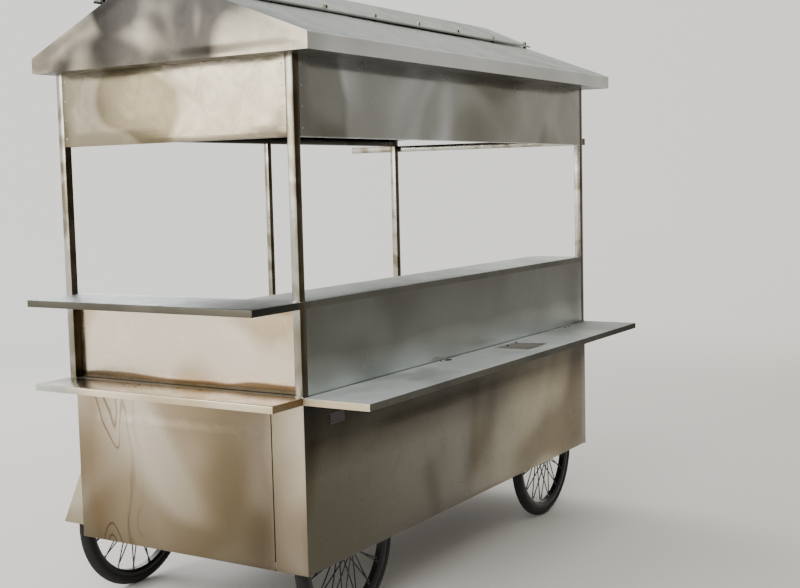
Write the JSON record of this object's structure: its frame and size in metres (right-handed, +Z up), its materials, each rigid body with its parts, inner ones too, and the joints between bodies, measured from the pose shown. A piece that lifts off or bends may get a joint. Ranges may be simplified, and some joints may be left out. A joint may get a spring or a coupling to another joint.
{
  "type": "vending cart",
  "caption": "Push vending cart of sheet steel on four spoked wheels, with a serving counter, folding shelves, back doors and a vented gable roof",
  "frame": {"origin": "On the ground, under the middle of the cart's whole bounding box", "axes": "+X along the cart from the head end, where the end counter is, to the tail end; +Y from the service side, with the long counter, to the operator side; +Z up"},
  "size_m": [2.664, 1.634, 2.3808],
  "materials": {
    "stainless_sheet": "thin cold-rolled stainless sheet with a soft, slightly wavy sheen",
    "roof_sheet": "weathered stainless roof sheet, duller than the body",
    "stainless_tube": "mill-finish welded stainless tube and bar",
    "zinc_plated_fittings": "bright zinc-plated hinges, stays, bearings and nuts",
    "dark_painted_steel": "dull black chassis paint",
    "black_painted_wheel": "black painted rim, spokes and hub",
    "tyre_rubber": "matt black rubber, dusty",
    "plate": "pale blank plate with a dark printed band left plain"
  },
  "bodies": {
    "cart": {"axle_nuts": "zinc_plated_fittings", "axles": "dark_painted_steel", "back_panel": "stainless_sheet", "blank_plate": "plate", "cap_spacers": "stainless_tube", "chassis": "dark_painted_steel", "counter_supports": "stainless_tube", "counter_top": "stainless_sheet", "cross_roof_rails": "stainless_tube", "deck_cross_rails": "stainless_tube", "deck_long_rails": "stainless_tube", "deck_sheet": "stainless_sheet", "deck_trestles": "stainless_tube", "fascias": "stainless_sheet", "floor_pan": "stainless_sheet", "gables": "roof_sheet", "hanging_rail": "stainless_tube", "head_corner_panel": "stainless_sheet", "head_panel": "stainless_sheet", "head_upper_panel": "stainless_sheet", "hinge_wall_leaves": "zinc_plated_fittings", "long_roof_rails": "stainless_tube", "operator_roof_slope": "roof_sheet", "rafters": "stainless_tube", "ridge_beam": "stainless_tube", "ridge_cap": "roof_sheet", "roof_posts": "stainless_tube", "service_panel": "stainless_sheet", "service_roof_slope": "roof_sheet", "service_upper_panel": "stainless_sheet", "soffit": "stainless_sheet", "stay_sockets": "zinc_plated_fittings", "tail_panel": "stainless_sheet", "wheel_boxes": "stainless_sheet", "wheel_guards": "stainless_sheet"},
    "head_service_wheel_set": {"head_service_tyre": "tyre_rubber", "head_service_wheel": "black_painted_wheel", "head_service_bearings": "zinc_plated_fittings"},
    "head_operator_wheel_set": {"head_operator_tyre": "tyre_rubber", "head_operator_wheel": "black_painted_wheel", "head_operator_bearings": "zinc_plated_fittings"},
    "tail_service_wheel_set": {"tail_service_tyre": "tyre_rubber", "tail_service_wheel": "black_painted_wheel", "tail_service_bearings": "zinc_plated_fittings"},
    "tail_operator_wheel_set": {"tail_operator_tyre": "tyre_rubber", "tail_operator_wheel": "black_painted_wheel", "tail_operator_bearings": "zinc_plated_fittings"},
    "service_shelf_body": {"service_shelf": "stainless_sheet", "service_shelf_fittings": "zinc_plated_fittings"},
    "head_shelf_body": {"head_shelf": "stainless_sheet", "head_shelf_fittings": "zinc_plated_fittings"},
    "service_stays": {"service_stay_1": "zinc_plated_fittings", "service_stay_2": "zinc_plated_fittings", "service_stay_3": "zinc_plated_fittings"},
    "head_stays": {"head_stay_1": "zinc_plated_fittings", "head_stay_2": "zinc_plated_fittings"},
    "head_door_body": {"head_door": "stainless_sheet", "head_door_leaves": "zinc_plated_fittings"},
    "tail_door_body": {"tail_door": "stainless_sheet", "tail_door_leaves": "zinc_plated_fittings"}
  },
  "joints": [
    {"name": "head_service_wheel_spin", "type": "hinge", "parent": "cart", "child": "head_service_wheel_set", "pos_m": [-0.763, -0.486, 0.295], "axis": [0, 1, 0], "continuous": true},
    {"name": "head_operator_wheel_spin", "type": "hinge", "parent": "cart", "child": "head_operator_wheel_set", "pos_m": [-0.763, 0.55, 0.295], "axis": [0, 1, 0], "continuous": true},
    {"name": "tail_service_wheel_spin", "type": "hinge", "parent": "cart", "child": "tail_service_wheel_set", "pos_m": [0.912, -0.486, 0.295], "axis": [0, 1, 0], "continuous": true},
    {"name": "tail_operator_wheel_spin", "type": "hinge", "parent": "cart", "child": "tail_operator_wheel_set", "pos_m": [0.912, 0.55, 0.295], "axis": [0, 1, 0], "continuous": true},
    {"name": "service_shelf_fold", "type": "hinge", "parent": "cart", "child": "service_shelf_body", "pos_m": [0, -0.555, 0.864], "axis": [1, 0, 0], "range_deg": [0, 90]},
    {"name": "head_shelf_fold", "type": "hinge", "parent": "cart", "child": "head_shelf_body", "pos_m": [-1.083, 0, 0.864], "axis": [0, -1, 0], "range_deg": [0, 90]},
    {"name": "service_stays_fold", "type": "hinge", "parent": "service_shelf_body", "child": "service_stays", "pos_m": [0, -0.67387, 0.882], "axis": [-1, 0, 0], "range_deg": [0, 152]},
    {"name": "head_stays_fold", "type": "hinge", "parent": "head_shelf_body", "child": "head_stays", "pos_m": [-1.15509, 0, 0.882], "axis": [0, 1, 0], "range_deg": [0, 152]},
    {"name": "head_door_swing", "type": "hinge", "parent": "cart", "child": "head_door_body", "pos_m": [-0.374, 0.5245, 0.58], "axis": [0, 0, 1], "range_deg": [0, 105]},
    {"name": "tail_door_swing", "type": "hinge", "parent": "cart", "child": "tail_door_body", "pos_m": [0.523, 0.5245, 0.58], "axis": [0, 0, -1], "range_deg": [0, 105]}
  ],
  "couplings": [
    {"joint": "service_stays_fold", "follows": "service_shelf_fold", "ratio": 1.6833},
    {"joint": "head_stays_fold", "follows": "head_shelf_fold", "ratio": 1.6833}
  ]
}
